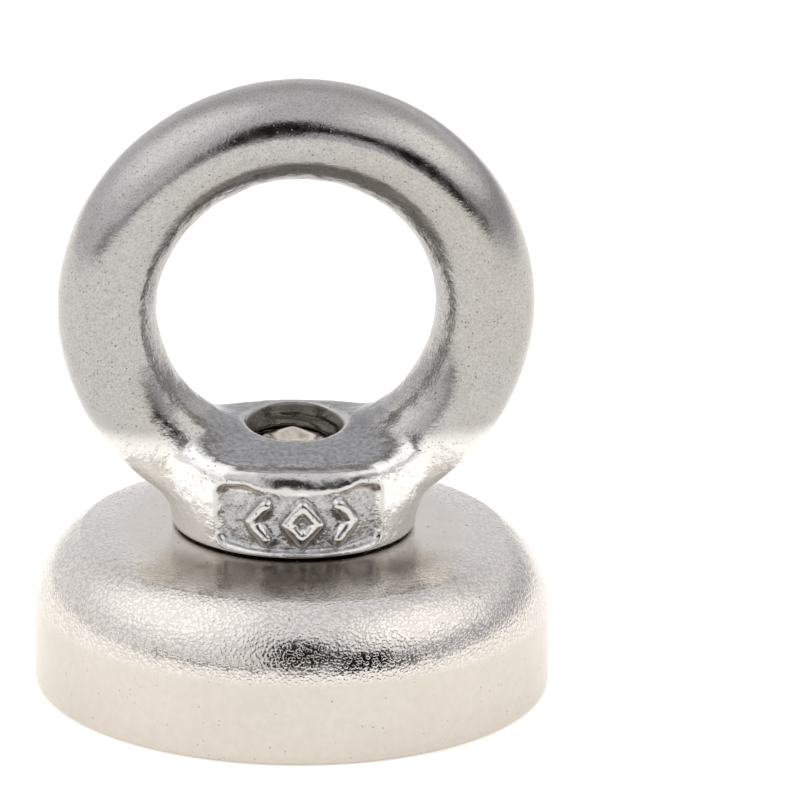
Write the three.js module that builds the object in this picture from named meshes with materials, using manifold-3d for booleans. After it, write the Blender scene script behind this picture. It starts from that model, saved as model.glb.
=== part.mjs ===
// Magnet fishing magnet: a 25 mm pot magnet with a cast eye nut, held by one countersunk screw.
// Millimetres, +Z up. The origin is the centre of the working face, which lies in the plane z = 0.
// The screw runs along +Z, and the eye stands in the XZ plane, with its front towards -Y.
import * as THREE from 'three';
import { mergeVertices } from 'three/addons/utils/BufferGeometryUtils.js';
import Module from 'manifold-3d';

const wasm = await Module();
wasm.setup();

const ROUND_STEPS = 48;
const GAP = 0.15;

// How far a cutting body reaches past the surface that it cuts.
const OVERCUT = 0.3;

// Steel pot: a deep-drawn cup with its mouth down. Its top is flat under the collar, falls a
// little towards the crown's edge, and turns there into the round shoulder.
const POT_RADIUS = 12.5;
const POT_HEIGHT = 8;
const POT_SHOULDER = 4.1;
const POT_SHOULDER_TURN = 62;
const POT_SHOULDER_STEPS = 6;
const CROWN_START = 6;
const CROWN_EDGE = 9.9;
const CROWN_FALL = 0.33;
const POT_EDGE = 0.3;
const CAVITY_RADIUS = 10.5;
const CAVITY_DEPTH = 4.6;

// Hole in the pot's base for the screw.
const SINK_RADIUS = 4.1;
const SINK_LAND = 0.4;
const CLEARANCE_RADIUS = 2.2;

// Ring magnet, its bonding film and the resin around it.
const MAGNET_RADIUS = 9.5;
const MAGNET_BORE = 4.5;
const MAGNET_RECESS = 0.1;
const MAGNET_EDGE = 0.2;
const FILM_THICKNESS = 0.2;
const FILM_INSET = 0.4;
const RESIN_RECESS = 0.3;

// M4 screw thread.
const PITCH = 0.7;
const THREAD_STEPS = 24;
const SCREW_CREST = 1.96;
const SCREW_ROOT = 1.55;
const SCREW_CREST_WIDTH = 0.1;
const NUT_CREST = 2.05;
const NUT_ROOT = 1.65;
const NUT_CREST_WIDTH = 0.2;

// Countersunk screw, M4 x 8, head down.
const SCREW_LENGTH = 8;
const SCREW_TIP_CHAMFER = 0.45;
const THREAD_RUNOUT = 0.4;
const HEAD_RADIUS = 3.9;
const HEAD_LAND = 0.3;
const NECK_RADIUS = 1.75;
const CROSS_SPAN = 4.4;
const CROSS_WIDTH = 1.15;
const CROSS_DEPTH = 2.1;
const CROSS_TAPER = 0.55;
const CROSS_OVERCUT = 0.01;

// Eye nut: a ring on a round collar, with the thread right through the collar.
const SEAT_GAP = 0.3;
const COLLAR_RADIUS = 5.9;
const COLLAR_EDGE = 0.3;
const COLLAR_WALL_TOP = 11.4;
const COLLAR_BEVEL_RADIUS = 4.6;
const COLLAR_BEVEL_TOP = 12.15;
const COLLAR_TOP = 13.2;
const COLLAR_TOP_RADIUS = 2.6;
const MOUTH_RADIUS = 2.33;
const EYE_CENTRE = 19.05;
const EYE_RADIUS = 9.13;
const EYE_SQUASH = 0.967;
const TUBE_RADIUS = 2.42;
const TUBE_DEPTH = 2.67;
const EYE_STEPS = 56;
const TUBE_STEPS = 16;

// Sunk panel on the front and back of the collar, with three raised marks.
const PANEL_HALF_WIDTH = 3.8;
const PANEL_BOTTOM = 8.75;
const PANEL_TOP = 11.3;
const PANEL_CORNER = 0.5;
const PANEL_DEPTH = 0.35;
const MARK_HEIGHT = 0.25;
const MARK_HALF_HEIGHT = 1;
const MARK_SPACING = 2.15;
const MARK_STROKE = 0.55;

const SCREW_BOTTOM = CAVITY_DEPTH;
const SCREW_TIP = SCREW_BOTTOM + SCREW_LENGTH;
const COLLAR_BOTTOM = POT_HEIGHT + SEAT_GAP;

// Turns a closed three.js geometry into a solid that can be joined and cut.
function solidOf(geometry) {
  const bare = geometry.index ? geometry.toNonIndexed() : geometry.clone();
  bare.deleteAttribute('normal');
  bare.deleteAttribute('uv');
  const merged = mergeVertices(bare, 1e-4);
  const corners = merged.index.array;
  const triangles = [];
  for (let i = 0; i < corners.length; i += 3) {
    const [a, b, c] = corners.slice(i, i + 3);
    if (a !== b && b !== c && c !== a) {
      triangles.push(a, b, c);
    }
  }
  const mesh = new wasm.Mesh({
    numProp: 3,
    vertProperties: new Float32Array(merged.getAttribute('position').array),
    triVerts: new Uint32Array(triangles),
  });
  return new wasm.Manifold(mesh);
}

// Turns a solid back into a geometry with flat faces.
function geometryOf(solid) {
  const mesh = solid.getMesh();
  const geometry = new THREE.BufferGeometry();
  geometry.setAttribute('position', new THREE.BufferAttribute(mesh.vertProperties, 3));
  geometry.setIndex(new THREE.BufferAttribute(mesh.triVerts, 1));
  return geometry;
}

// Revolves a profile of [radius, height] pairs about the Z axis.
function turned(profile, steps = ROUND_STEPS) {
  const points = profile.map(([radius, height]) => new THREE.Vector2(radius, height));
  return new THREE.LatheGeometry(points, steps).rotateX(Math.PI / 2);
}

// Extrudes an outline drawn in X and Z along Y, from front to back.
function plate(outline, front, back) {
  const options = { depth: back - front, bevelEnabled: false, curveSegments: 4 };
  const geometry = new THREE.ExtrudeGeometry(outline, options);
  return geometry.rotateX(Math.PI / 2).translate(0, back, 0);
}

// A bar with a right-hand thread, made as a long helical strip that is closed by a fan at each
// end. Bars of any size have their threads in step, because heights count from z = 0.
function threadedBar(root, crest, crestWidth, bottom, top) {
  const flank = (crest - root) * Math.tan(Math.PI / 6);
  const shape = [
    [-crestWidth / 2 - flank, root],
    [-crestWidth / 2, crest],
    [crestWidth / 2, crest],
    [crestWidth / 2 + flank, root],
  ];
  const firstTurn = Math.floor(bottom / PITCH) - 1;
  const lastTurn = Math.ceil(top / PITCH);
  const rows = [];
  for (let turn = firstTurn; turn < lastTurn; turn += 1) {
    for (const [height, radius] of shape) {
      rows.push([turn * PITCH + height, radius]);
    }
  }
  const position = [];
  for (let column = 0; column <= THREAD_STEPS; column += 1) {
    const part = (column % THREAD_STEPS) / THREAD_STEPS;
    const angle = part * 2 * Math.PI;
    const rise = (column / THREAD_STEPS) * PITCH;
    for (const [height, radius] of rows) {
      position.push(radius * Math.cos(angle), radius * Math.sin(angle), height + rise);
    }
  }
  const last = rows.length - 1;
  const at = (column, row) => column * rows.length + row;
  const lowCentre = position.length / 3;
  const highCentre = lowCentre + 1;
  position.push(0, 0, rows[0][0]);
  position.push(0, 0, rows[last][0] + PITCH);
  const index = [];
  for (let column = 0; column < THREAD_STEPS; column += 1) {
    for (let row = 0; row < last; row += 1) {
      index.push(at(column, row), at(column + 1, row), at(column + 1, row + 1));
      index.push(at(column, row), at(column + 1, row + 1), at(column, row + 1));
    }
    index.push(lowCentre, at(column + 1, 0), at(column, 0));
    index.push(highCentre, at(column, last), at(column + 1, last));
  }
  for (let step = 0; step < shape.length; step += 1) {
    index.push(lowCentre, at(0, step), at(0, step + 1));
    index.push(highCentre, at(THREAD_STEPS, last - step), at(THREAD_STEPS, last - step - 1));
  }
  const geometry = new THREE.BufferGeometry();
  geometry.setAttribute('position', new THREE.Float32BufferAttribute(position, 3));
  geometry.setIndex(index);
  return geometry;
}

function steelPot() {
  const profile = [
    [CAVITY_RADIUS + POT_EDGE, 0],
    [POT_RADIUS - POT_EDGE, 0],
    [POT_RADIUS, POT_EDGE],
  ];
  for (let step = 0; step <= POT_SHOULDER_STEPS; step += 1) {
    const angle = THREE.MathUtils.degToRad((step / POT_SHOULDER_STEPS) * POT_SHOULDER_TURN);
    profile.push([
      POT_RADIUS - POT_SHOULDER * (1 - Math.cos(angle)),
      POT_HEIGHT - POT_SHOULDER * (1 - Math.sin(angle)),
    ]);
  }
  const coneHeight = SINK_RADIUS - CLEARANCE_RADIUS;
  profile.push([CROWN_EDGE, POT_HEIGHT - CROWN_FALL]);
  profile.push([CROWN_START, POT_HEIGHT]);
  profile.push([CLEARANCE_RADIUS, POT_HEIGHT]);
  profile.push([CLEARANCE_RADIUS, CAVITY_DEPTH + SINK_LAND + coneHeight]);
  profile.push([SINK_RADIUS, CAVITY_DEPTH + SINK_LAND]);
  profile.push([SINK_RADIUS, CAVITY_DEPTH]);
  profile.push([CAVITY_RADIUS, CAVITY_DEPTH]);
  profile.push([CAVITY_RADIUS, POT_EDGE]);
  profile.push(profile[0]);
  return turned(profile);
}

function ringMagnet() {
  const bottom = MAGNET_RECESS;
  const top = CAVITY_DEPTH - FILM_THICKNESS - 2 * GAP;
  return turned([
    [MAGNET_BORE + MAGNET_EDGE, bottom],
    [MAGNET_RADIUS - MAGNET_EDGE, bottom],
    [MAGNET_RADIUS, bottom + MAGNET_EDGE],
    [MAGNET_RADIUS, top - MAGNET_EDGE],
    [MAGNET_RADIUS - MAGNET_EDGE, top],
    [MAGNET_BORE + MAGNET_EDGE, top],
    [MAGNET_BORE, top - MAGNET_EDGE],
    [MAGNET_BORE, bottom + MAGNET_EDGE],
    [MAGNET_BORE + MAGNET_EDGE, bottom],
  ]);
}

// A closed ring of rectangular section.
function flatRing(inner, outer, bottom, top) {
  return turned([
    [inner, bottom],
    [outer, bottom],
    [outer, top],
    [inner, top],
    [inner, bottom],
  ]);
}

function magnetAdhesive() {
  const top = CAVITY_DEPTH - GAP;
  const inner = MAGNET_BORE + FILM_INSET;
  const outer = MAGNET_RADIUS - FILM_INSET;
  return flatRing(inner, outer, top - FILM_THICKNESS, top);
}

function resinRing() {
  const inner = MAGNET_RADIUS + GAP;
  const outer = CAVITY_RADIUS - GAP;
  return flatRing(inner, outer, RESIN_RECESS, CAVITY_DEPTH - GAP);
}

// One of the two crossed bars of the driver recess, narrower at its inner end.
function crossBar(turn) {
  const half = CROSS_SPAN / Math.SQRT2;
  const bar = new THREE.CylinderGeometry(half * CROSS_TAPER, half, CROSS_DEPTH, 4);
  bar.rotateX(Math.PI / 2).rotateZ(Math.PI / 4);
  bar.scale(1, CROSS_WIDTH / CROSS_SPAN, 1);
  bar.rotateZ(turn).translate(0, 0, SCREW_BOTTOM + CROSS_DEPTH / 2 - CROSS_OVERCUT);
  return solidOf(bar);
}

function countersunkScrew() {
  const neckHeight = SCREW_BOTTOM + HEAD_LAND + HEAD_RADIUS - NECK_RADIUS;
  const head = turned([
    [0, SCREW_BOTTOM],
    [HEAD_RADIUS, SCREW_BOTTOM],
    [HEAD_RADIUS, SCREW_BOTTOM + HEAD_LAND],
    [NECK_RADIUS, neckHeight],
    [0, neckHeight],
  ]);
  const envelope = turned([
    [0, neckHeight - OVERCUT],
    [SCREW_ROOT, neckHeight - OVERCUT],
    [SCREW_CREST + OVERCUT, neckHeight + THREAD_RUNOUT],
    [SCREW_CREST + OVERCUT, SCREW_TIP - SCREW_TIP_CHAMFER - OVERCUT],
    [SCREW_CREST - SCREW_TIP_CHAMFER, SCREW_TIP],
    [0, SCREW_TIP],
  ]);
  const bar = threadedBar(SCREW_ROOT, SCREW_CREST, SCREW_CREST_WIDTH, neckHeight, SCREW_TIP);
  const shank = solidOf(bar).intersect(solidOf(envelope));
  const body = shank.add(solidOf(head));
  return geometryOf(body.subtract(crossBar(0)).subtract(crossBar(Math.PI / 2)));
}

function roundedPanel() {
  const left = -PANEL_HALF_WIDTH;
  const right = PANEL_HALF_WIDTH;
  const corner = PANEL_CORNER;
  const outline = new THREE.Shape();
  outline.moveTo(left + corner, PANEL_BOTTOM);
  outline.lineTo(right - corner, PANEL_BOTTOM);
  outline.quadraticCurveTo(right, PANEL_BOTTOM, right, PANEL_BOTTOM + corner);
  outline.lineTo(right, PANEL_TOP - corner);
  outline.quadraticCurveTo(right, PANEL_TOP, right - corner, PANEL_TOP);
  outline.lineTo(left + corner, PANEL_TOP);
  outline.quadraticCurveTo(left, PANEL_TOP, left, PANEL_TOP - corner);
  outline.lineTo(left, PANEL_BOTTOM + corner);
  outline.quadraticCurveTo(left, PANEL_BOTTOM, left + corner, PANEL_BOTTOM);
  return outline;
}

function lozenge() {
  const middle = (PANEL_BOTTOM + PANEL_TOP) / 2;
  const outline = new THREE.Shape();
  outline.moveTo(-MARK_HALF_HEIGHT, middle);
  outline.lineTo(0, middle - MARK_HALF_HEIGHT);
  outline.lineTo(MARK_HALF_HEIGHT, middle);
  outline.lineTo(0, middle + MARK_HALF_HEIGHT);
  outline.closePath();
  return outline;
}

// A chevron beside the lozenge, pointing away from it; side is -1 or 1.
function chevron(side) {
  const middle = (PANEL_BOTTOM + PANEL_TOP) / 2;
  const tip = side * (MARK_SPACING + MARK_HALF_HEIGHT / 2);
  const tail = side * (MARK_SPACING - MARK_HALF_HEIGHT / 2);
  const width = side * MARK_STROKE;
  const points = [
    [tip, middle],
    [tail, middle + MARK_HALF_HEIGHT],
    [tail - width, middle + MARK_HALF_HEIGHT],
    [tip - width, middle],
    [tail - width, middle - MARK_HALF_HEIGHT],
    [tail, middle - MARK_HALF_HEIGHT],
  ];
  return new THREE.Shape(points.map(([x, z]) => new THREE.Vector2(x, z)));
}

function cylinder(radius, bottom, top) {
  return solidOf(turned([[0, bottom], [radius, bottom], [radius, top], [0, top]]));
}

// Sinks the panel into the collar's front wall and raises the marks from its floor.
function withPanel(nut) {
  const front = -COLLAR_RADIUS - OVERCUT;
  const back = -COLLAR_RADIUS / 2;
  const floorRadius = COLLAR_RADIUS - PANEL_DEPTH;
  const floor = cylinder(floorRadius, COLLAR_BOTTOM - OVERCUT, COLLAR_TOP + OVERCUT);
  const markTop = cylinder(floorRadius + MARK_HEIGHT, COLLAR_BOTTOM, COLLAR_TOP);
  let result = nut.subtract(solidOf(plate(roundedPanel(), front, back)).subtract(floor));
  for (const outline of [lozenge(), chevron(-1), chevron(1)]) {
    result = result.add(solidOf(plate(outline, front, back)).intersect(markTop));
  }
  return result;
}

function eyeNut() {
  const eye = new THREE.TorusGeometry(EYE_RADIUS, TUBE_RADIUS, TUBE_STEPS, EYE_STEPS);
  eye.rotateX(Math.PI / 2).scale(1, TUBE_DEPTH / TUBE_RADIUS, EYE_SQUASH);
  eye.translate(0, 0, EYE_CENTRE);
  const collar = turned([
    [0, COLLAR_BOTTOM],
    [COLLAR_RADIUS - COLLAR_EDGE, COLLAR_BOTTOM],
    [COLLAR_RADIUS, COLLAR_BOTTOM + COLLAR_EDGE],
    [COLLAR_RADIUS, COLLAR_WALL_TOP],
    [COLLAR_BEVEL_RADIUS, COLLAR_BEVEL_TOP],
    [COLLAR_TOP_RADIUS, COLLAR_TOP],
    [0, COLLAR_TOP],
  ]);
  const below = cylinder(POT_RADIUS, 0, COLLAR_BOTTOM);
  const inner = NUT_ROOT - OVERCUT;
  const outer = MOUTH_RADIUS + OVERCUT;
  const mouthDepth = MOUTH_RADIUS - inner;
  const topMouth = turned([
    [0, COLLAR_TOP - mouthDepth],
    [inner, COLLAR_TOP - mouthDepth],
    [outer, COLLAR_TOP + OVERCUT],
    [0, COLLAR_TOP + OVERCUT],
  ]);
  const bottomMouth = turned([
    [0, COLLAR_BOTTOM - OVERCUT],
    [outer, COLLAR_BOTTOM - OVERCUT],
    [inner, COLLAR_BOTTOM + mouthDepth],
    [0, COLLAR_BOTTOM + mouthDepth],
  ]);
  const threadTop = COLLAR_TOP + OVERCUT;
  const tap = threadedBar(NUT_ROOT, NUT_CREST, NUT_CREST_WIDTH, COLLAR_BOTTOM, threadTop);
  let nut = withPanel(solidOf(collar).add(solidOf(eye)).subtract(below));
  nut = withPanel(nut.rotate([0, 0, 180])).rotate([0, 0, 180]);
  nut = nut.subtract(solidOf(tap)).subtract(solidOf(topMouth)).subtract(solidOf(bottomMouth));
  return geometryOf(nut);
}

function piece(name, geometry, color, roughness, metalness) {
  const mesh = new THREE.Mesh(
    geometry,
    new THREE.MeshStandardMaterial({ color, roughness, metalness }),
  );
  mesh.name = name;
  return mesh;
}

const magnetPot = new THREE.Group();
magnetPot.add(piece('steel_pot', steelPot(), 0xd2cbbf, 0.3, 1));
magnetPot.add(piece('ring_magnet', ringMagnet(), 0xc9c9c6, 0.25, 1));
magnetPot.add(piece('magnet_adhesive', magnetAdhesive(), 0x8f8a78, 0.6, 0));
magnetPot.add(piece('resin_ring', resinRing(), 0x2b2b2b, 0.4, 0));

const fishingMagnet = new THREE.Group();
fishingMagnet.add(magnetPot);
fishingMagnet.add(piece('countersunk_screw', countersunkScrew(), 0xb9b6b0, 0.35, 1));
fishingMagnet.add(piece('eye_nut', eyeNut(), 0xb5b1a9, 0.45, 1));

export default fishingMagnet;
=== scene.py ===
import math

import bpy
import numpy as np
import openvdb
from mathutils import Matrix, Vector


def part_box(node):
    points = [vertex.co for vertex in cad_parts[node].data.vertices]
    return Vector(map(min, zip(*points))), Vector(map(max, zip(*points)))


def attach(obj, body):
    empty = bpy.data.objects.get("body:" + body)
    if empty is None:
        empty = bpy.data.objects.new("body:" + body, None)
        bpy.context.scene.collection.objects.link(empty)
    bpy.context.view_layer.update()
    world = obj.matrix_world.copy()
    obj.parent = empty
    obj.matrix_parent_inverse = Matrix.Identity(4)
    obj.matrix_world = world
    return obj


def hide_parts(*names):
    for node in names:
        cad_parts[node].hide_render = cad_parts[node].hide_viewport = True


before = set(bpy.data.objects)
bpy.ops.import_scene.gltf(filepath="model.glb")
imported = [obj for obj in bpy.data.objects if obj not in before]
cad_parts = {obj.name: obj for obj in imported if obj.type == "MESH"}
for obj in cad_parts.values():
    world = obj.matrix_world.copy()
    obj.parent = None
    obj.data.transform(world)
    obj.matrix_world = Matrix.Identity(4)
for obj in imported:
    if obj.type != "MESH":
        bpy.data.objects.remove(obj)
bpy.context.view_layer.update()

# Magnet fishing magnet: the looks of the pot magnet, its screw and its cast eye nut.
# Shapes are worked out in millimetres in the frame of the CAD part and turned into metres when
# each mesh is made. The eye stands in the XZ plane, with the front of its collar towards -Y.

MM = 0.001

# ---- driving sizes, in millimetres, read from the frame where it has them ----


def box_mm(node):
    """The lowest and highest corners of a CAD node, in millimetres."""
    low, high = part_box(node)
    return [c / MM for c in low], [c / MM for c in high]


POT_LOW, POT_HIGH = box_mm("steel_pot")
NUT_LOW, NUT_HIGH = box_mm("eye_nut")
SCREW_LOW, SCREW_HIGH = box_mm("countersunk_screw")
MAGNET_LOW, MAGNET_HIGH = box_mm("ring_magnet")
RESIN_LOW, RESIN_HIGH = box_mm("resin_ring")
FILM_LOW, FILM_HIGH = box_mm("magnet_adhesive")

POT_RADIUS = POT_HIGH[0]
POT_HEIGHT = POT_HIGH[2]
POT_SHOULDER = 4.1
CAVITY_RADIUS = 10.5
CAVITY_DEPTH = SCREW_LOW[2]
SINK_RADIUS = 4.1
SINK_LAND = 0.4
CLEARANCE_RADIUS = 2.2

# the eye nut: its collar, the sunk panels on it, the marks raised in them, and its ring
COLLAR_RADIUS = 5.9
COLLAR_BOTTOM = POT_HIGH[2] + 0.06
COLLAR_TOP = 13.16
TOP_TILT = 0.088
HOLE_RIM = 2.42
PANEL_HALF_WIDTH = 4.25
PANEL_HALF_HEIGHT = 1.42
PANEL_MIDDLE = 9.77
PANEL_FLOOR = COLLAR_RADIUS - 0.4
MARK_MIDDLE = 9.78
MARK_HEIGHT = 0.4
EYE_RADIUS = 9.13
EYE_SQUASH = 0.967
EYE_CENTRE = 19.05
TUBE_RADIUS = 2.4
TUBE_DEPTH = 2.67

# the screw, with the M4 thread that it shares with the eye nut
PITCH = 0.7
HEAD_RADIUS = SCREW_HIGH[0]
HEAD_BOTTOM = SCREW_LOW[2]
SCREW_TIP = SCREW_HIGH[2]

# a distance that stands for "nowhere near", where a shape is left out
FAR = 9.0


# ---- noise and small helpers on arrays of points ----


def smooth(low, high, value):
    """A soft step from 0 at low to 1 at high."""
    t = np.clip((value - low) / (high - low), 0, 1)
    return t * t * (3 - 2 * t)


def noise(points, size, seed):
    """Smooth random values from -1 to 1 with bumps about size apart."""
    rng = np.random.default_rng(seed)
    cells = 64
    well_inside = 1000.0
    table = rng.uniform(-1, 1, (cells, cells, cells))
    scaled = points / size + well_inside
    base = np.floor(scaled).astype(int)
    part = scaled - base
    part = part * part * (3 - 2 * part)
    total = 0
    for corner in range(8):
        offset = np.array([corner & 1, corner >> 1 & 1, corner >> 2 & 1])
        index = (base + offset) % cells
        weight = np.prod(np.where(offset, part, 1 - part), axis=-1)
        total = total + weight * table[index[..., 0], index[..., 1], index[..., 2]]
    return total


def soft_min(a, b, size):
    """The lower of two distances, blended over size so that a fillet joins the shapes."""
    h = np.clip(1 - np.abs(a - b) / size, 0, 1)
    return np.minimum(a, b) - h * h * size / 4


def soft_max(a, b, size):
    """The higher of two distances, blended over size so that the edge is rounded."""
    return -soft_min(-a, -b, size)


def round_max(a, b, radius):
    """The higher of two distances, with a true arc of the given radius along the edge."""
    near = np.sqrt(np.maximum(a + radius, 0) ** 2 + np.maximum(b + radius, 0) ** 2)
    return np.minimum(np.maximum(a, b), -radius) + near


# ---- the eye nut's shape, as a distance from its surface ----
# The distance from a sloping face is scaled by about the cosine of its angle.


def eye_tube(x, y, z):
    """The ring: an oval tube along an upright oval."""
    wide = EYE_RADIUS
    tall = EYE_RADIUS * EYE_SQUASH
    up = z - EYE_CENTRE
    level = np.sqrt((x / wide) ** 2 + (up / tall) ** 2) + 1e-9
    slope = np.sqrt(x**2 / wide**4 + up**2 / tall**4) / level + 1e-9
    across = (level - 1) / slope
    round_off = np.sqrt((across / TUBE_RADIUS) ** 2 + (y / TUBE_DEPTH) ** 2)
    return (round_off - 1) * TUBE_RADIUS


def end_slope(side, x, y, z):
    """The collar's top at its front (side -1) or back (+1): a slope, then a bevel beyond it."""
    crest_height = 12.24
    crest_out = 5.02
    crest_bend = 14.0
    slope_fall = 0.41 + 0.07 * side
    upper_fall = 0.85
    lower_fall = 2.8
    lower_height = 11.97
    lower_start = 0.32
    reach = np.sqrt(x**2 + (side * y - crest_out + crest_bend) ** 2) - crest_bend
    crease = 0.06 * np.exp(-(((reach + 0.16) / 0.2) ** 2))
    slope = (z - crest_height + slope_fall * reach + crease) * 0.94
    upper = (z - crest_height + upper_fall * reach) * 0.76
    lower = (z - lower_height + lower_fall * (reach - lower_start)) * 0.336
    return soft_max(slope, soft_max(upper, lower, 0.25), 0.08)


def collar_body(x, y, z):
    """The collar: a drum whose top slopes up to the mouth, with a bevel along front and back."""
    foot_round = 0.2
    top_round = 0.6
    mouth_radius = 2.9
    mouth_fall = 0.1
    radius = np.sqrt(x**2 + y**2)
    drum = round_max(radius - COLLAR_RADIUS, COLLAR_BOTTOM - z, foot_round)
    cap = (z - COLLAR_TOP - TOP_TILT * y) + mouth_fall * np.maximum(radius - mouth_radius, 0)
    for side in (-1, 1):
        cap = soft_max(cap, end_slope(side, x, y, z), 0.2)
    return round_max(drum, cap, top_round)


def side_root(x, y, z):
    """The thick foot on each side, where the ring grows out of the collar."""
    centre_out, centre_up = 4.6, 10.8
    half_width, half_depth, half_height = 1.3, 3.6, 2.3
    across = (np.abs(x) - centre_out) / half_width
    deep = y / half_depth
    up = (z - centre_up) / half_height
    return (np.sqrt(across**2 + deep**2 + up**2) - 1) * half_width


def panel_outline(along, z):
    """The outline of the sunk panel, flat across and up: negative inside."""
    off_centre = 0.1
    corner = 0.5
    bow = 0.012
    ear_out, ear_width, ear_height = 3.0, 0.55, 0.22
    side = np.abs(along + off_centre) - PANEL_HALF_WIDTH + corner
    ears = ear_height * np.exp(-(((np.abs(along) - ear_out) / ear_width) ** 2))
    ears = ears * smooth(0.0, 1.0, z - PANEL_MIDDLE)
    up = np.abs(z - PANEL_MIDDLE - bow * along**2) - PANEL_HALF_HEIGHT - ears + corner
    outside = np.sqrt(np.maximum(side, 0) ** 2 + np.maximum(up, 0) ** 2)
    return outside + np.minimum(np.maximum(side, up), 0) - corner


def segment(along, up, start, end):
    """Distance from a straight line between two points of the flattened panel."""
    ax, ay = start
    bx, by = end
    length2 = (bx - ax) ** 2 + (by - ay) ** 2
    t = np.clip(((along - ax) * (bx - ax) + (up - ay) * (by - ay)) / length2, 0, 1)
    return np.sqrt((along - ax - t * (bx - ax)) ** 2 + (up - ay - t * (by - ay)) ** 2)


def marks(along, z):
    """Three raised marks, an open lozenge between two chevrons: negative inside a mark."""
    half_height = 0.83
    stroke = 0.35
    lozenge_out = 0.75
    chevron_tip, chevron_tail = 2.62, 1.9
    up = z - MARK_MIDDLE
    corners = [(-lozenge_out, 0), (0, half_height), (lozenge_out, 0), (0, -half_height)]
    shape = 10 * FAR
    for start, end in zip(corners, corners[1:] + corners[:1]):
        shape = np.minimum(shape, segment(along, up, start, end))
    for side in (-1, 1):
        tip = (side * chevron_tip, 0)
        for rise in (half_height, -half_height):
            shape = np.minimum(shape, segment(along, up, tip, (side * chevron_tail, rise)))
    return shape - stroke


def thread_phase(x, y, z):
    """Where a point lies along the thread's pitch, from -0.5 to 0.5, with the crest at 0."""
    turn = np.arctan2(y, x) / (2 * math.pi)
    return np.mod(z / PITCH - turn + 0.5, 1.0) - 0.5


def tapped_hole(x, y, z):
    """The threaded hole with a cone at each mouth: negative inside the hole."""
    minor_radius = 1.66
    groove, groove_half_width, groove_flank = 0.4, 0.36, 0.3
    mouth_slope = 0.8
    mouth_depth = 0.6
    radius = np.sqrt(x**2 + y**2)
    inside_groove = groove_half_width - np.abs(thread_phase(x, y, z))
    depth = np.clip(inside_groove / groove_flank, 0, 1)
    thread = (radius - minor_radius - groove * depth) * 0.6
    above = z - COLLAR_TOP - TOP_TILT * y
    top = np.maximum((radius - HOLE_RIM - mouth_slope * above) * 0.78, above - mouth_depth)
    thread = np.maximum(thread, above - mouth_depth / 2)
    bottom = (radius - HOLE_RIM + (z - COLLAR_BOTTOM)) * 0.7
    return np.minimum(thread, np.minimum(top, bottom))


def eye_nut_distance(points):
    """The casting: ring, feet and collar, less the panels and the hole, with the marks added."""
    foot_fillet = 1.0
    collar_fillet = 0.7
    x, y, z = points[..., 0], points[..., 1], points[..., 2]
    body = soft_min(eye_tube(x, y, z), side_root(x, y, z), foot_fillet)
    body = soft_min(collar_body(x, y, z), body, collar_fillet)
    body = soft_max(body, COLLAR_BOTTOM - z, 0.12)
    radius = np.sqrt(x**2 + y**2)
    along = np.arctan2(x, np.abs(y)) * COLLAR_RADIUS
    front_or_back = np.abs(y) > 1.5
    sunk = soft_max(PANEL_FLOOR - radius, panel_outline(along, z), 0.3)
    body = soft_max(body, -np.where(front_or_back, sunk, FAR), 0.3)
    raised = soft_max(radius - PANEL_FLOOR - MARK_HEIGHT, marks(along, z), 0.34)
    near_floor = radius > PANEL_FLOOR - 0.6
    body = soft_min(body, np.where(front_or_back & near_floor, raised, FAR), 0.24)
    return soft_max(body, -tapped_hole(x, y, z), 0.1)


def slope_of(distance, points):
    """The gradient of a distance function at each point."""
    step = 0.004
    slopes = []
    for axis in range(3):
        shift = np.zeros(3)
        shift[axis] = step
        slopes.append((distance(points + shift) - distance(points - shift)) / (2 * step))
    return np.stack(slopes, axis=-1)


def curve_of(distance, points, reach):
    """How strongly the surface curves: above zero on its edges, below zero in its corners."""
    total = -6 * distance(points)
    for axis in range(3):
        shift = np.zeros(3)
        shift[axis] = reach
        total = total + distance(points + shift) + distance(points - shift)
    return total / reach**2


def skin_of(distance, low, high, voxel):
    """Points and four-sided faces of the surface where a distance function is zero."""
    low = np.array(low) - 3 * voxel
    counts = np.ceil((np.array(high) - low) / voxel).astype(int) + 4
    axes = [low[i] + voxel * np.arange(counts[i]) for i in range(3)]
    field = np.empty(counts, np.float32)
    for i, x in enumerate(axes[0]):
        y, z = np.meshgrid(axes[1], axes[2], indexing="ij")
        field[i] = distance(np.stack([np.full_like(y, x), y, z], axis=-1))
    grid = openvdb.FloatGrid(FAR)
    grid.copyFromArray(field)
    points, _, faces = grid.convertToPolygons(isovalue=0.0, adaptivity=0.0)
    points = np.asarray(points, float) * voxel + low
    for _ in range(3):
        slope = slope_of(distance, points)
        steep = np.maximum((slope**2).sum(axis=1, keepdims=True), 0.05)
        move = distance(points)[:, None] * slope / steep
        points = points - np.clip(move, -voxel / 2, voxel / 2)
    return points, np.asarray(faces)


# ---- meshes ----


def make_mesh(name, points, faces, body, nodes, material):
    """A mesh piece from points in millimetres, riding on a body in place of CAD nodes."""
    mesh = bpy.data.meshes.new(name)
    mesh.from_pydata((np.asarray(points) * MM).tolist(), [], [list(map(int, f)) for f in faces])
    mesh.validate()
    mesh.update()
    mesh.polygons.foreach_set("use_smooth", [True] * len(mesh.polygons))
    piece = bpy.data.objects.new(name, mesh)
    bpy.context.scene.collection.objects.link(piece)
    mesh.materials.append(material)
    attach(piece, body)
    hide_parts(*nodes)
    return piece


def paint(piece, name, values):
    """Stores one number for each vertex, for the material to read."""
    layer = piece.data.attributes.new(name, "FLOAT", "POINT")
    layer.data.foreach_set("value", np.asarray(values, np.float32))


def arc(centre, radius, start, end, steps):
    """Points on an arc in a profile, as [radius, height], for angles in degrees."""
    angles = np.radians(np.linspace(start, end, steps + 1))
    return [[centre[0] + radius * math.cos(a), centre[1] + radius * math.sin(a)] for a in angles]


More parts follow.
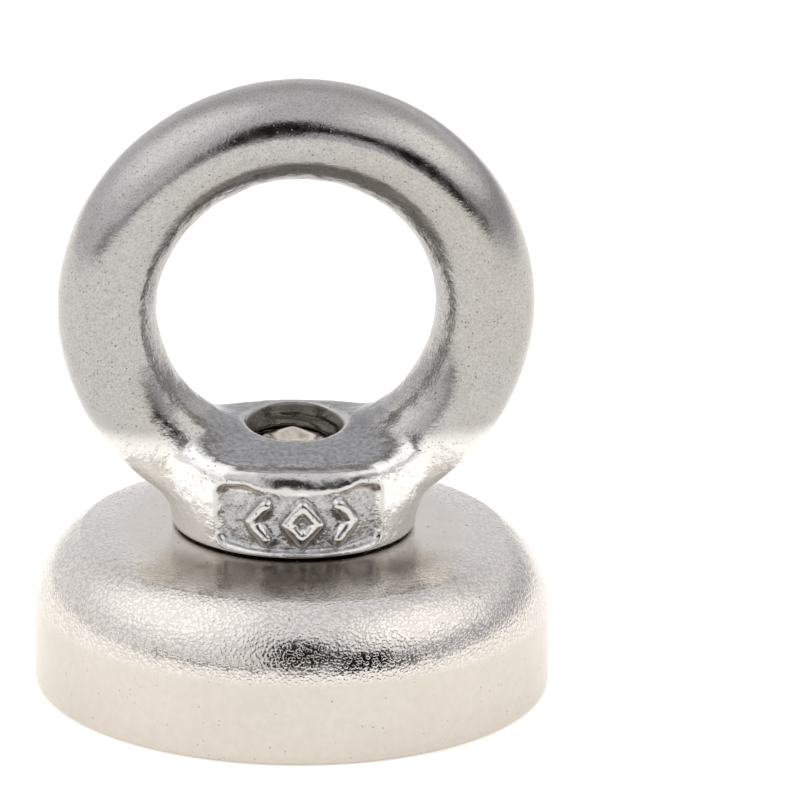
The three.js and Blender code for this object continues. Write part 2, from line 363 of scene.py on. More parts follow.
def line(start, end, steps):
    """Points along a straight stretch of a profile, without its last one."""
    return [[start[k] + (end[k] - start[k]) * i / steps for k in (0, 1)] for i in range(steps)]


def turned(profile, steps):
    """Points and faces of a closed profile of [radius, height] turned about Z."""
    rows = len(profile)
    angles = np.arange(steps) * 2 * math.pi / steps
    profile = np.array(profile)
    points = np.stack(
        [
            np.outer(np.cos(angles), profile[:, 0]),
            np.outer(np.sin(angles), profile[:, 0]),
            np.tile(profile[:, 1], (steps, 1)),
        ],
        axis=-1,
    ).reshape(-1, 3)
    faces = []
    for i in range(steps):
        here = i * rows
        there = (i + 1) % steps * rows
        for j in range(rows):
            k = (j + 1) % rows
            faces.append((here + j, there + j, there + k, here + k))
    return points, faces


# ---- materials ----


class Tree:
    """A short way to build a node tree."""

    def __init__(self, tree):
        self.tree = tree

    def add(self, kind, **settings):
        """A new node of a kind, with its settings."""
        node = self.tree.nodes.new(kind)
        for key, value in settings.items():
            setattr(node, key, value)
        return node

    def link(self, source, target):
        """Feeds a socket from another socket, or sets it to a number or a colour."""
        if isinstance(source, bpy.types.NodeSocket):
            self.tree.links.new(source, target)
        else:
            target.default_value = source

    def math(self, operation, *values):
        """A sum or other operation on sockets and numbers."""
        node = self.add("ShaderNodeMath", operation=operation)
        for socket, value in zip(node.inputs, values):
            self.link(value, socket)
        return node.outputs[0]

    def remap(self, value, from_low, from_high, to_low, to_high):
        """A soft step from one range of values to another."""
        node = self.add("ShaderNodeMapRange", interpolation_type="SMOOTHSTEP")
        self.link(value, node.inputs["Value"])
        for socket, number in zip(
            ("From Min", "From Max", "To Min", "To Max"), (from_low, from_high, to_low, to_high)
        ):
            self.link(number, node.inputs[socket])
        return node.outputs[0]

    def mix(self, amount, first, second):
        """A blend of two colours."""
        node = self.add("ShaderNodeMix", data_type="RGBA")
        self.link(amount, node.inputs["Factor"])
        for socket, value in ((node.inputs["A"], first), (node.inputs["B"], second)):
            self.link((*value, 1.0) if isinstance(value, tuple) else value, socket)
        return node.outputs["Result"]


class Nodes(Tree):
    """A short way to build a material's node tree."""

    def __init__(self, name):
        self.material = bpy.data.materials.new(name)
        self.material.use_nodes = True
        super().__init__(self.material.node_tree)
        self.shader = self.tree.nodes["Principled BSDF"]
        self.place = self.add("ShaderNodeTexCoord").outputs["Object"]

    def texture(self, kind, size, vector=None, **settings):
        """A texture with features of about size millimetres."""
        node = self.add(kind, **settings)
        self.link(vector or self.place, node.inputs["Vector"])
        node.inputs["Scale"].default_value = 1 / (size * MM)
        return node

    def grain(self, size, detail=2.0, roughness=0.5):
        """Noise from 0 to 1 with features of about size millimetres."""
        node = self.texture("ShaderNodeTexNoise", size)
        node.inputs["Detail"].default_value = detail
        node.inputs["Roughness"].default_value = roughness
        return node.outputs["Fac"]

    def cells(self, size):
        """Distance from scattered points about size millimetres apart, in cells."""
        return self.texture("ShaderNodeTexVoronoi", size).outputs["Distance"]

    def pits(self, spacing, share, reach):
        """Round pits at scattered points, in a share of the cells, up to reach cells across."""
        node = self.texture("ShaderNodeTexVoronoi", spacing)
        chance = self.add("ShaderNodeSeparateColor")
        self.link(node.outputs["Color"], chance.inputs[0])
        radius = self.remap(chance.outputs[0], 1 - share, 1.0, 0.0, reach)
        depth = self.math("SUBTRACT", radius, node.outputs["Distance"])
        return self.remap(depth, 0.0, 0.08, 0.0, 1.0)

    def creases(self, size):
        """Pebbles about size millimetres across, with narrow creases between them."""
        warp = self.texture("ShaderNodeTexNoise", 1.5 * size)
        shift = self.add("ShaderNodeVectorMath", operation="MULTIPLY_ADD")
        self.link(warp.outputs["Color"], shift.inputs[0])
        shift.inputs[1].default_value = (0.9 * size * MM,) * 3
        self.link(self.place, shift.inputs[2])
        node = self.texture("ShaderNodeTexVoronoi", size, shift.outputs[0], feature="SMOOTH_F1")
        node.inputs["Smoothness"].default_value = 0.2
        return self.math("SUBTRACT", 1.0, node.outputs["Distance"])

    def attribute(self, name):
        """A number painted on the piece's vertices."""
        return self.add("ShaderNodeAttribute", attribute_name=name).outputs["Fac"]

    def bump(self, height, depth, strength=1.0, after=None):
        """Bumps whose full height is depth millimetres."""
        node = self.add("ShaderNodeBump")
        self.link(height, node.inputs["Height"])
        self.link(strength, node.inputs["Strength"])
        node.inputs["Distance"].default_value = depth * MM
        if after is not None:
            self.link(after, node.inputs["Normal"])
        return node.outputs["Normal"]

    def finish(self, **inputs):
        """Sets the shader's inputs, with _ for the spaces in their names."""
        for name, value in inputs.items():
            self.link(value, self.shader.inputs[name.replace("_", " ")])
        return self.material


def nickel_plate():
    """Bright satin nickel with the orange-peel skin of drawn steel on its shoulder."""
    # painted shade: the side wall's tones are darker than the shoulder's
    shaded_wall_dark, shaded_wall_pale = (0.605, 0.56, 0.495), (0.665, 0.62, 0.555)
    wall_cloud = (0.55, 0.51, 0.46)
    shoulder_dark, shoulder_pale = (0.68, 0.64, 0.585), (0.75, 0.71, 0.66)
    crease_shade_tone = (0.3, 0.28, 0.25)
    stain_and_shadow_tone = (0.2, 0.155, 0.12)
    pit_tone = (0.09, 0.07, 0.055)
    n = Nodes("nickel_plate")
    peel = n.attribute("peel")
    pits = n.math("MAXIMUM", n.pits(0.5, 0.3, 0.15), n.pits(0.24, 0.24, 0.24))
    pits = n.math("MULTIPLY", pits, n.attribute("pitted"))
    skin = n.creases(0.17)
    plates = n.remap(skin, 0.36, 0.62, 0.0, 1.0)
    broad = n.grain(3.5, 3)
    clouds = n.remap(n.grain(0.4, 4, 0.7), 0.35, 0.65, 0.0, 0.3)
    wall = n.mix(clouds, n.mix(broad, shaded_wall_dark, shaded_wall_pale), wall_cloud)
    shoulder = n.mix(broad, shoulder_dark, shoulder_pale)
    # painted shade: below the shoulder, the wall takes its darker tones
    tone = n.mix(n.remap(peel, 0.0, 1.0, 0.0, 1.0), wall, shoulder)
    # painted shade: the creases between the peel's pebbles are darkened on the shoulder
    crease_shade = n.math("MULTIPLY", n.math("SUBTRACT", 1.0, plates), n.math("MULTIPLY", peel, 0.28))
    tone = n.mix(crease_shade, tone, crease_shade_tone)
    uneven = n.remap(n.grain(1.6, 4), 0.3, 0.7, 0.7, 1.0)
    # a brown stain with a painted shadow and reflection of the collar, on the plateau in front of
    # it
    tone = n.mix(n.math("MULTIPLY", n.attribute("stain_and_collar_shadow"), uneven), tone, stain_and_shadow_tone)
    tone = n.mix(n.math("MULTIPLY", pits, 0.6), tone, pit_tone)
    normal = n.bump(skin, 0.005, n.remap(peel, 0.0, 1.0, 0.1, 1.0))
    normal = n.bump(plates, 0.007, n.remap(peel, 0.0, 1.0, 0.0, 1.0), normal)
    normal = n.bump(n.grain(0.06, 2), 0.003, 0.5, normal)
    normal = n.bump(pits, -0.03, 0.8, normal)
    patch = n.remap(n.grain(1.2, 3), 0.3, 0.7, -0.02, 0.03)
    rough = n.math("ADD", patch, n.remap(peel, 0.2, 1, 0.2, 0.1))
    rough = n.math("ADD", rough, n.math("MULTIPLY", pits, 0.3))
    return n.finish(Base_Color=tone, Metallic=1.0, Roughness=rough, Normal=normal)


def bare_cast_tone(n, blast):
    """The cast metal's own tone: blotched on the ring, pale where the collar is blasted."""
    ring_dark, ring_pale = (0.423, 0.402, 0.369), (0.495, 0.477, 0.449)
    cool_blotch, warm_mottle = (0.46, 0.455, 0.455), (0.37, 0.355, 0.335)
    blasted = (0.88, 0.865, 0.83)
    tone = n.mix(n.grain(2.8, 4, 0.6), ring_dark, ring_pale)
    tone = n.mix(n.remap(n.grain(6.0, 2), 0.4, 0.62, 0.0, 0.5), tone, cool_blotch)
    tone = n.mix(n.remap(n.grain(0.7, 4, 0.75), 0.4, 0.66, 0.0, 0.35), tone, warm_mottle)
    return n.mix(n.remap(blast, 0.5, 1.0, 0.0, 0.9), tone, blasted)


def cast_stainless():
    """Cast stainless: smooth and pitted on the ring, blasted and speckled on the collar."""
    worn_tone, darker_tops_and_panel_shade_tone, soot_tone = (0.53, 0.52, 0.5), (0.28, 0.28, 0.29), (0.17, 0.165, 0.16)
    dusk_tone, pit_tone = (0.19, 0.185, 0.18), (0.07, 0.065, 0.06)
    corner_shade_tone, oil_and_hole_shade_tone = (0.12, 0.115, 0.11), (0.05, 0.04, 0.025)
    n = Nodes("cast_stainless")
    blast, worn, darker_tops_and_panel_shade = n.attribute("blast"), n.attribute("worn"), n.attribute("darker_tops_and_panel_shade")
    inner = n.math("MULTIPLY", n.attribute("inner"), 0.8)
    bare = n.math("SUBTRACT", blast, n.math("MULTIPLY", worn, 0.85))
    rough_cast = n.math("MAXIMUM", bare, inner)
    pits = n.math("MAXIMUM", n.pits(0.17, 0.4, 0.3), n.pits(0.6, 0.25, 0.13))
    pits = n.math("MULTIPLY", pits, n.remap(n.grain(2.2, 3), 0.35, 0.6, 0.4, 1.0))
    tone = n.mix(n.math("MULTIPLY", worn, 0.75), bare_cast_tone(n, blast), worn_tone)
    # darker on the upward faces, and painted shade in the sunk panels
    tone = n.mix(n.math("MULTIPLY", darker_tops_and_panel_shade, 0.68), tone, darker_tops_and_panel_shade_tone)
    soot = n.remap(n.grain(0.22, 4, 0.7), 0.38, 0.6, 0.5, 0.0)
    tone = n.mix(n.math("MULTIPLY", soot, darker_tops_and_panel_shade), tone, soot_tone)
    spread = n.math("MAXIMUM", n.remap(blast, 0, 1, 0.5, 0.14), inner)
    specks = n.remap(n.grain(0.1, 3, 0.65), 0.35, 0.6, 0.75, 0.0)
    tone = n.mix(n.math("MULTIPLY", specks, spread), tone, dusk_tone)
    tone = n.mix(n.math("MULTIPLY", pits, 0.5), tone, pit_tone)
    # painted shade in the concave corners
    tone = n.mix(n.math("MULTIPLY", n.attribute("corner"), 0.18), tone, corner_shade_tone)
    # the bore and its mouth: oil, with painted shade inside the hole
    tone = n.mix(n.attribute("oil_and_hole_shade"), tone, oil_and_hole_shade_tone)
    normal = n.bump(n.grain(0.42, 2), 0.06, n.remap(rough_cast, 0.0, 1.0, 0.1, 0.9))
    fine_strength = n.remap(rough_cast, 0.0, 1.0, 0.3, 0.9)
    normal = n.bump(n.grain(0.15, 3, 0.6), 0.022, fine_strength, normal)
    normal = n.bump(pits, -0.04, 1.0, normal)
    rough = n.remap(rough_cast, 0.0, 1.0, 0.15, 0.22)
    rough = n.math("ADD", rough, n.remap(n.grain(0.9, 3), 0.3, 0.7, -0.03, 0.05))
    return n.finish(Base_Color=tone, Metallic=1.0, Roughness=rough, Normal=normal)


def rolled_steel():
    """Plain rolled screw steel, a little warm, with fine marks from the rollers."""
    n = Nodes("rolled_steel")
    tone = n.mix(n.grain(0.6, 3), (0.74, 0.67, 0.57), (0.88, 0.82, 0.73))
    dirt = n.remap(n.grain(0.35, 4, 0.65), 0.52, 0.7, 0.0, 0.5)
    tone = n.mix(dirt, tone, (0.2, 0.16, 0.12))
    normal = n.bump(n.grain(0.12, 3), 0.02, 0.7)
    rough = n.remap(n.grain(0.4, 3), 0.3, 0.7, 0.28, 0.45)
    return n.finish(Base_Color=tone, Metallic=1.0, Roughness=rough, Normal=normal)


def magnet_plating():
    """Bright nickel plating on the sintered magnet, with fine handling scratches."""
    n = Nodes("magnet_plating")
    tone = n.mix(n.grain(2.4, 3), (0.6, 0.585, 0.555), (0.68, 0.67, 0.645))
    pits = n.remap(n.cells(0.9), 0.03, 0.08, 1.0, 0.0)
    tone = n.mix(n.math("MULTIPLY", pits, 0.5), tone, (0.14, 0.13, 0.12))
    normal = n.bump(n.grain(0.25, 3), 0.008, 0.6)
    rough = n.remap(n.grain(0.7, 4), 0.3, 0.7, 0.16, 0.3)
    return n.finish(Base_Color=tone, Metallic=1.0, Roughness=rough, Normal=normal)


def potting_resin():
    """Black epoxy, glossy, with dust and a few drowned bubbles."""
    n = Nodes("potting_resin")
    tone = n.mix(n.grain(1.1, 3), (0.012, 0.012, 0.014), (0.035, 0.034, 0.035))
    bubbles = n.remap(n.cells(0.55), 0.06, 0.16, 0.0, 1.0)
    normal = n.bump(bubbles, 0.02, 0.4)
    normal = n.bump(n.grain(0.6, 2), 0.03, 0.5, normal)
    rough = n.remap(n.grain(0.5, 3), 0.3, 0.7, 0.22, 0.42)
    return n.finish(Base_Color=tone, Roughness=rough, Normal=normal)


def amber_adhesive():
    """The cured bonding film behind the magnet."""
    n = Nodes("amber_adhesive")
    tone = n.mix(n.grain(0.9, 3), (0.36, 0.29, 0.16), (0.5, 0.43, 0.28))
    normal = n.bump(n.grain(0.4, 3), 0.03, 0.6)
    return n.finish(Base_Color=tone, Roughness=0.35, Normal=normal)


def floor_paper():
    """The pale sweep under the object, glowing evenly, with a painted shadow in front of it where
    the glow is less.
    """
    shade_centre = (0.0, -22 * MM, 0.0)
    shade_reach = 24 * MM
    shaded_glow, glow = 0.38, 0.46
    n = Nodes("floor_paper")
    tone = n.mix(n.grain(40, 3), (0.9, 0.885, 0.85), (0.915, 0.9, 0.865))
    away = n.add("ShaderNodeVectorMath", operation="DISTANCE")
    n.link(n.place, away.inputs[0])
    away.inputs[1].default_value = shade_centre
    strength = n.remap(away.outputs["Value"], 0.0, shade_reach, shaded_glow, glow)
    n.link((1.0, 0.985, 0.95, 1.0), n.shader.inputs["Emission Color"])
    n.link(strength, n.shader.inputs["Emission Strength"])
    return n.finish(Base_Color=tone, Roughness=0.9)


# ---- pieces ----


def cast_lift(points, blast, inner):
    """How far the cast skin stands out: rough on the collar and inside the ring, else tumbled."""
    rough_cast = 0.03 * noise(points, 1.0, 1) + 0.022 * noise(points, 0.42, 2)
    tumbled = 0.03 * noise(points, 3.2, 3) + 0.006 * noise(points, 0.8, 4)
    return rough_cast * blast + tumbled * (1 - blast) + 0.8 * rough_cast * inner


def build_eye_nut():
    """The casting, with what its material needs to know painted on its vertices."""
    points, faces = skin_of(eye_nut_distance, NUT_LOW, NUT_HIGH, voxel=0.13)
    slope = slope_of(eye_nut_distance, points)
    outward = slope / np.linalg.norm(slope, axis=1, keepdims=True)
    radius = np.hypot(points[:, 0], points[:, 1])
    curve = curve_of(eye_nut_distance, points, reach=0.12)
    worn = smooth(0.5, 1.6, curve)
    # corner: where painted shade goes, in the concave places, later kept out of the bore
    corner = smooth(0.8, 3.0, -curve)
    blast = 1 - smooth(12.0, 15.5, points[:, 2])
    ring_up = (points[:, 2] - EYE_CENTRE) / EYE_SQUASH
    inner = smooth(EYE_RADIUS - 1.2, EYE_RADIUS - 1.7, np.hypot(points[:, 0], ring_up))
    inner = inner * smooth(13.0, 15.0, points[:, 2])
    in_hole = (radius < 2.45) & (points[:, 2] < COLLAR_TOP + 0.3)
    lift = cast_lift(points, blast, inner)
    lift = np.where(in_hole, 0.2 * lift, lift) * smooth(0.05, 0.4, points[:, 2] - COLLAR_BOTTOM)
    points = points + outward * lift[:, None]
    across, deep, height = np.abs(points[:, 0]), np.abs(points[:, 1]), points[:, 2]
    polish = smooth(4.55, 4.9, deep) * smooth(4.6, 3.4, across)
    polish = polish * smooth(11.15, 11.5, height) * (height < 12.6)
    upward = smooth(0.6, 0.93, outward[:, 2]) * (height < 14) * (1 - worn)
    # painted shade in the sunk panels, which are darkened along with the upward faces
    sunk = smooth(0.2, 0.36, COLLAR_RADIUS - radius) * (radius > 4)
    sunk = sunk * (height < 11.2) * (height > 8.3)
    bore = (1 - smooth(2.28, 2.4, radius)) * (height < COLLAR_TOP + 0.15)
    piece = make_mesh(
        "eye_nut_casting", points, faces, "eye", ["eye_nut"], cast_stainless()
    )
    paint(piece, "blast", blast)
    paint(piece, "inner", inner)
    paint(piece, "darker_tops_and_panel_shade", np.maximum(upward, 0.85 * sunk))
    paint(piece, "worn", np.maximum(worn * blast, polish))
    paint(piece, "corner", corner * (1 - bore))
    # oil and painted shade in the threaded bore
    paint(piece, "oil_and_hole_shade", 0.9 * bore)


# the top of the pot, by radius: flat, then falling, then falling more and more
CROWN_START = 6.0
CROWN_EDGE = 9.9
CROWN_FALL = 0.085
CROWN_TURN = 8.8
CROWN_CURVE = 0.05


def crown(radius):
    """A point of the top of the pot, which falls away from the collar, more at its edge."""
    drop = CROWN_FALL * (radius - CROWN_START) + CROWN_CURVE * max(radius - CROWN_TURN, 0) ** 2
    return [radius, POT_HEIGHT - drop]


def on_arc(centre, radius, angle):
    """One point of an arc in a profile."""
    return arc(centre, radius, angle, angle, 0)[0]


def bend(start, end, start_fall, steps):
    """A curve from the shoulder, falling outwards at start_fall degrees, to the crown."""
    steep = math.tan(math.radians(start_fall))
    gentle = CROWN_FALL + 2 * CROWN_CURVE * (end[0] - CROWN_TURN)
    gap = start[0] - end[0]
    reach = (end[1] - start[1] - gentle * gap) / (steep - gentle)
    corner = [start[0] - reach, start[1] + steep * reach]
    points = []
    for i in range(steps):
        t = i / steps
        pulls = list(zip(((1 - t) ** 2, 2 * t * (1 - t), t * t), (start, corner, end)))
        points.append([sum(weight * point[k] for weight, point in pulls) for k in (0, 1)])
    return points


def pot_profile():
    """The cup's section, from its rim round the outside to the screw hole and back inside."""
    edge = 0.22
    turn = 62
    lip = 0.12
    low = POT_LOW[2]
    shoulder = (POT_RADIUS - POT_SHOULDER, POT_HEIGHT - POT_SHOULDER)
    sink_top = CAVITY_DEPTH + SINK_LAND
    cone_top = CAVITY_DEPTH + SINK_LAND + SINK_RADIUS - CLEARANCE_RADIUS
    profile = [[CAVITY_RADIUS + edge, low]]
    profile += line((CAVITY_RADIUS + 2 * edge, low), (POT_RADIUS - edge, low), 5)
    profile += arc((POT_RADIUS - edge, low + edge), edge, -90, 0, 5)
    profile += line((POT_RADIUS, low + edge + 0.1), (POT_RADIUS, shoulder[1]), 26)
    profile += arc(shoulder, POT_SHOULDER, 0, turn, 40)[:-1]
    profile += bend(on_arc(shoulder, POT_SHOULDER, turn), crown(CROWN_EDGE), 90 - turn, 12)
    profile += [crown(radius) for radius in np.linspace(CROWN_EDGE, CROWN_START, 31)[:-1]]
    profile += line((CROWN_START, POT_HEIGHT), (CLEARANCE_RADIUS + lip + 0.03, POT_HEIGHT), 24)
    profile += arc((CLEARANCE_RADIUS + lip, POT_HEIGHT - lip), lip, 90, 180, 3)
    profile += line((CLEARANCE_RADIUS, POT_HEIGHT - 0.2), (CLEARANCE_RADIUS, cone_top), 3)
    profile += line((CLEARANCE_RADIUS, cone_top), (SINK_RADIUS, sink_top), 6)
    profile += line((SINK_RADIUS, sink_top), (SINK_RADIUS, CAVITY_DEPTH), 2)
    profile += line((SINK_RADIUS, CAVITY_DEPTH), (CAVITY_RADIUS, CAVITY_DEPTH), 12)
    profile += line((CAVITY_RADIUS, CAVITY_DEPTH), (CAVITY_RADIUS, low + edge), 10)
    profile.append([CAVITY_RADIUS, low + edge])
    return profile


def drawn_skin(points, radius, height):
    """The cup's points with the flow marks of drawing on them and a few nicks in the rim."""
    outside = (radius > POT_RADIUS - POT_SHOULDER - 0.5) & (height > 0.4)
    shoulder = smooth(3.4, 5.0, height) * smooth(6.6, 9.6, radius)
    flow = 0.012 * noise(points, 0.55, 11) + 0.02 * noise(points, 2.2, 12)
    lift = np.where(outside, flow * (0.15 + 0.85 * shoulder), 0.25 * flow * (height > 7.9))
    away = np.stack([points[:, 0] / radius, points[:, 1] / radius, 0 * radius], axis=1)
    rise = smooth(3.9, 8.0, height)[:, None]
    outward = away * (1 - rise) + np.array([0, 0, 1]) * rise
    nicks = smooth(0.45, 0.75, noise(points, 0.5, 13)) * (height < 0.5)
    nicks = nicks * (radius > POT_RADIUS - 0.5) * smooth(0.0, 0.4, noise(points, 4.0, 14))
    return points + outward * lift[:, None] - away * 0.07 * nicks[:, None]


def build_pot():
    """The drawn cup, with what its material needs to know painted on its vertices."""
    points, faces = turned(pot_profile(), steps=512)
    radius = np.hypot(points[:, 0], points[:, 1])
    height = points[:, 2]
    points = drawn_skin(points, radius, height)
    piece = make_mesh(
        "pot_shell", points, faces, "magnet_pot", ["steel_pot"], nickel_plate()
    )
    wall = smooth(3.7, 4.5, height) * 0.95 + 0.05
    flat = 1 - 0.72 * smooth(9.2, 7.6, radius)
    paint(piece, "peel", np.where(height > 0.3, wall * flat, 0.1))
    # brown stain and painted shadow of the collar, on the plateau in front of it, reaching
    # further at the front
    front = smooth(0.3, 0.9, -points[:, 1] / radius)
    edge = radius - 1.15 * front + 0.7 * noise(points, 1.5, 15)
    before = smooth(2.8, 6.5, 0.8 * noise(points, 2.0, 16) - points[:, 1])
    paint(piece, "stain_and_collar_shadow", (1 - smooth(6.9, 9.7, edge)) * before * (height > 6))
    paint(piece, "pitted", smooth(5.0, 7.4, height) * 0.65 + 0.35)


def ring_profile(low, high, inner, outer, edge, dish=0.0):
    """A ring's section with rounded corners and, where dish is given, a hollowed lower face."""
    profile = []
    steps = 10
    for i in range(steps + 1):
        part = i / steps
        radius = inner + edge + (outer - inner - 2 * edge) * part
        profile.append([radius, low + dish * math.sin(math.pi * part)])
    profile += arc((outer - edge, low + edge), edge, -90, 0, 4)[1:]
    profile += arc((outer - edge, high - edge), edge, 0, 90, 4)
    profile += arc((inner + edge, high - edge), edge, 90, 180, 4)
    profile += arc((inner + edge, low + edge), edge, 180, 270, 4)[:-1]
    return profile


def build_magnet():
    """The sintered ring."""
    inner = 4.5
    profile = ring_profile(MAGNET_LOW[2], MAGNET_HIGH[2], inner, MAGNET_HIGH[0], 0.25)
    points, faces = turned(profile, steps=192)
    make_mesh(
        "magnet_ring",
        points,
        faces,
        "magnet_pot",
        ["ring_magnet"],
        magnet_plating(),
    )


def build_resin():
    """The potting resin, which fills the gap round the magnet and sinks between its edges."""
    inner = MAGNET_HIGH[0] + 0.02
    outer = CAVITY_RADIUS - 0.02
    low = RESIN_LOW[2] - 0.12
    profile = ring_profile(low, RESIN_HIGH[2], inner, outer, edge=0.06, dish=0.16)
    points, faces = turned(profile, steps=192)
    points[:, 2] += 0.04 * noise(points, 1.8, 21) * (points[:, 2] < 0.6)
    make_mesh(
        "resin_fill", points, faces, "magnet_pot", ["resin_ring"], potting_resin()
    )


def build_adhesive():
    """The bonding film, which has crept out unevenly round the magnet's bore."""
    inner = 4.62
    low, high = FILM_LOW[2] - 0.08, FILM_HIGH[2] + 0.1
    profile = ring_profile(low, high, inner, FILM_HIGH[0], edge=0.09)
    points, faces = turned(profile, steps=160)
    radius = np.hypot(points[:, 0], points[:, 1])
    creep = 0.18 * noise(points, 1.3, 22) * (radius < inner + 1)
    points[:, :2] *= (1 + creep / radius)[:, None]
    make_mesh(
        "adhesive_film",
        points,
        faces,
        "magnet_pot",
        ["magnet_adhesive"],
        amber_adhesive(),
    )


def screw_distance(points):
    """The screw: head, threaded shank, cross recess and a ragged cup at the rolled tip."""
    minor_radius = 1.56
    ridge, ridge_half_width, ridge_flank = 0.39, 0.3, 0.24
    recess_reach, recess_half_width, recess_depth = 2.2, 0.55, 2.1
    x, y, z = points[..., 0], points[..., 1], points[..., 2]
    radius = np.sqrt(x**2 + y**2)
    inside_ridge = ridge_half_width - np.abs(thread_phase(x, y, z))
    crest = np.clip(inside_ridge / ridge_flank, 0, 1)
    shank = (radius - minor_radius - ridge * crest) * 0.6
    ragged = 0.2 * noise(points, 1.3, 31) + 0.05 * noise(points, 0.4, 32)
    cup = 0.5 * (1 - smooth(0.7, 1.45, radius))
    tip = z - (SCREW_TIP - 0.36 + ragged - cup)
    chamfer = (radius - 1.62 + 0.8 * (z - SCREW_TIP + 0.35)) * 0.75
    shank = soft_max(soft_max(shank, tip, 0.12), chamfer, 0.1)
    shank = np.maximum(shank, HEAD_BOTTOM + 0.5 - z)
    head = soft_max(radius - HEAD_RADIUS, HEAD_BOTTOM - z, 0.12)
    head = soft_max(head, (radius + z - HEAD_BOTTOM - HEAD_RADIUS - 0.3) * 0.71, 0.1)
    body = soft_min(head, shank, 0.15)
    deep = z - HEAD_BOTTOM
    cross = 10 * FAR
    for along, across in ((x, y), (y, x)):
        length = np.abs(along) - recess_reach + 0.45 * deep
        width = np.abs(across) - recess_half_width + 0.12 * deep
        cross = np.minimum(cross, np.maximum(length, width))
    recess = soft_max(cross, (deep - recess_depth + 0.35 * radius) * 0.9, 0.1)
    return soft_max(body, -recess, 0.08)


def build_screw():
    """The machine screw."""
    points, faces = skin_of(screw_distance, SCREW_LOW, SCREW_HIGH, voxel=0.075)
    make_mesh(
        "machine_screw",
        points,
        faces,
        "screw",
        ["countersunk_screw"],
        rolled_steel(),
    )


# ---- camera, floor and light ----


def direction(azimuth, elevation):
    """A unit vector; azimuth 0 is towards -Y, the photographer, and +90 is towards +X."""
    a, e = math.radians(azimuth), math.radians(elevation)
    return np.array([math.sin(a) * math.cos(e), -math.cos(a) * math.cos(e), math.sin(e)])


CAMERA_AZIMUTH = -4.42
CAMERA_ELEVATION = 18.28
CAMERA_DISTANCE = 0.450
CAMERA_LENS = 418.96
CAMERA_ROLL = 0.0169


def build_camera():
    """A long lens at the object's middle height, aimed to one side so the magnet stands left."""
    look_at = np.array([0, 0, 0.015])
    aim_right, aim_down = 0.00507, 0.00069
    towards = direction(CAMERA_AZIMUTH, CAMERA_ELEVATION)
    right = np.cross([0, 0, 1], towards)
    right /= np.linalg.norm(right)
    up = np.cross(towards, right)
    place = look_at + CAMERA_DISTANCE * towards
    back = place - (look_at + aim_right * right - aim_down * up)
    back /= np.linalg.norm(back)
    side = np.cross([0, 0, 1], back)
    side /= np.linalg.norm(side)
    top = np.cross(back, side)
    cos, sin = math.cos(CAMERA_ROLL), math.sin(CAMERA_ROLL)
    side, top = side * cos + top * sin, top * cos - side * sin
    rows = [[float(v[i]) for v in (side, top, back, place)] for i in range(3)]
    camera_data = bpy.data.cameras.new("camera")
    camera_data.sensor_width = 36
    camera_data.lens = CAMERA_LENS
    camera_data.clip_start = 0.01
    camera = bpy.data.objects.new("camera", camera_data)
    bpy.context.scene.collection.objects.link(camera)
    camera.matrix_world = Matrix(rows + [[0, 0, 0, 1]])
    bpy.context.scene.camera = camera


def build_floor():
    """A wide pale disc, a hair below the pot's rim."""
    radius = 4.0
    sides = 96
    height = -0.02 * MM
    turns = np.linspace(0, 2 * math.pi, sides + 1)[:-1]
    points = [[radius * math.cos(a), radius * math.sin(a), height] for a in turns]
    mesh = bpy.data.meshes.new("floor")
    mesh.from_pydata(points, [], [list(range(sides))])
    floor = bpy.data.objects.new("floor", mesh)
    bpy.context.scene.collection.objects.link(floor)
    mesh.materials.append(floor_paper())


# part of the way from the horizon to the zenith, and the colour there
DOME_STOPS = [
    (0.0, (0.94, 0.94, 0.96)),
    (0.3, (0.91, 0.91, 0.95)),
    (1.0, (0.93, 0.93, 0.98)),
]

# how square a patch is: 2 makes an oval
PATCH_POWER = 3.0

# azimuth from the camera's own, elevation, half width, half height, softness, colour
LIGHT_PATCHES = [
    (180, 45, 68, 14, 0.5, (0.76, 0.76, 0.79)),
    (95, 11, 72, 7, 0.45, (0.55, 0.55, 0.59)),
    (-79, 52, 44, 27, 0.55, (1.45, 1.46, 1.5)),
    (75, 42, 33, 18, 0.55, (1.48, 1.48, 1.48)),
    (-38, 4.8, 28, 1.9, 0.4, (0.04, 0.04, 0.04)),
    (47, 5.5, 16, 3.5, 0.5, (0.1, 0.09, 0.1)),
    (28, 11.5, 19, 15, 0.3, (0.008, 0.006, 0.006)),
    (3.5, 25, 15, 20, 0.3, (0.012, 0.006, 0.005)),
    (15, 7, 5, 6, 0.5, (0.95, 0.97, 1.05)),
]


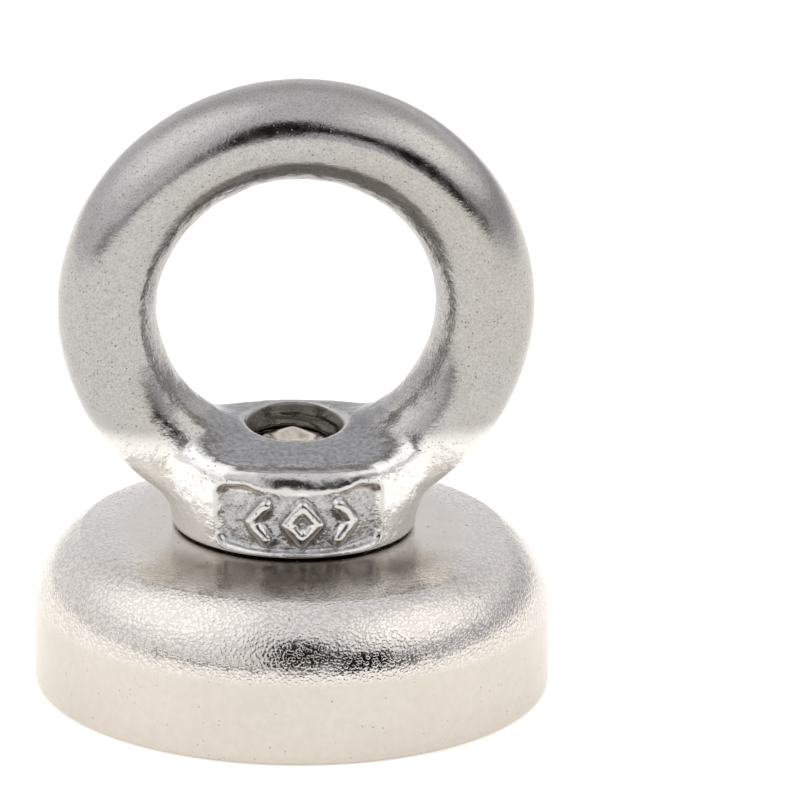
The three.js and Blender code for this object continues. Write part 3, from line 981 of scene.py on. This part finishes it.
class WorldNodes(Tree):
    """A short way to build the world's node tree."""

    def __init__(self, name):
        world = bpy.data.worlds.new(name)
        world.use_nodes = True
        bpy.context.scene.world = world
        super().__init__(world.node_tree)
        self.background = self.tree.nodes["Background"]

    def angles(self):
        """The azimuth and elevation of each direction, in degrees."""
        split = self.add("ShaderNodeSeparateXYZ")
        self.link(self.add("ShaderNodeTexCoord").outputs["Generated"], split.inputs[0])
        x, y, z = split.outputs
        azimuth = self.math("DEGREES", self.math("ARCTAN2", x, self.math("MULTIPLY", y, -1.0)))
        return azimuth, self.math("DEGREES", self.math("ARCSINE", z))

    def dome(self, elevation):
        """The plain pale surroundings, by elevation."""
        ramp = self.add("ShaderNodeValToRGB")
        self.link(self.math("DIVIDE", elevation, 90.0), ramp.inputs[0])
        stops = ramp.color_ramp.elements
        for stop, (position, colour) in zip(stops, (DOME_STOPS[0], DOME_STOPS[-1])):
            stop.position = position
            stop.color = (*colour, 1)
        for position, colour in DOME_STOPS[1:-1]:
            stops.new(position).color = (*colour, 1)
        return ramp.outputs[0]

    def patch(self, azimuth, elevation, centre, height, half_width, half_height, softness):
        """How much a rounded patch covers each direction, from 0 to 1."""
        turn = self.math("SUBTRACT", azimuth, centre + CAMERA_AZIMUTH)
        across = self.math("DIVIDE", self.math("WRAP", turn, 180.0, -180.0), half_width)
        up = self.math("DIVIDE", self.math("SUBTRACT", elevation, height), half_height)
        across = self.math("POWER", self.math("ABSOLUTE", across), PATCH_POWER)
        up = self.math("POWER", self.math("ABSOLUTE", up), PATCH_POWER)
        reach = self.math("POWER", self.math("ADD", across, up), 1 / PATCH_POWER)
        return self.remap(reach, 1 - softness, 1 + softness, 1.0, 0.0)


def build_world():
    """A pale dome with soft bright and dark patches, for the bright metal to reflect."""
    world = WorldNodes("studio")
    azimuth, elevation = world.angles()
    colour = world.dome(elevation)
    for *place, brightness in LIGHT_PATCHES:
        colour = world.mix(world.patch(azimuth, elevation, *place), colour, brightness)
    world.link(colour, world.background.inputs["Color"])
    world.link(1.0, world.background.inputs["Strength"])


bpy.context.scene.view_settings.view_transform = "Standard"
build_camera()
build_floor()
build_world()
build_eye_nut()
build_pot()
build_magnet()
build_resin()
build_adhesive()
build_screw()
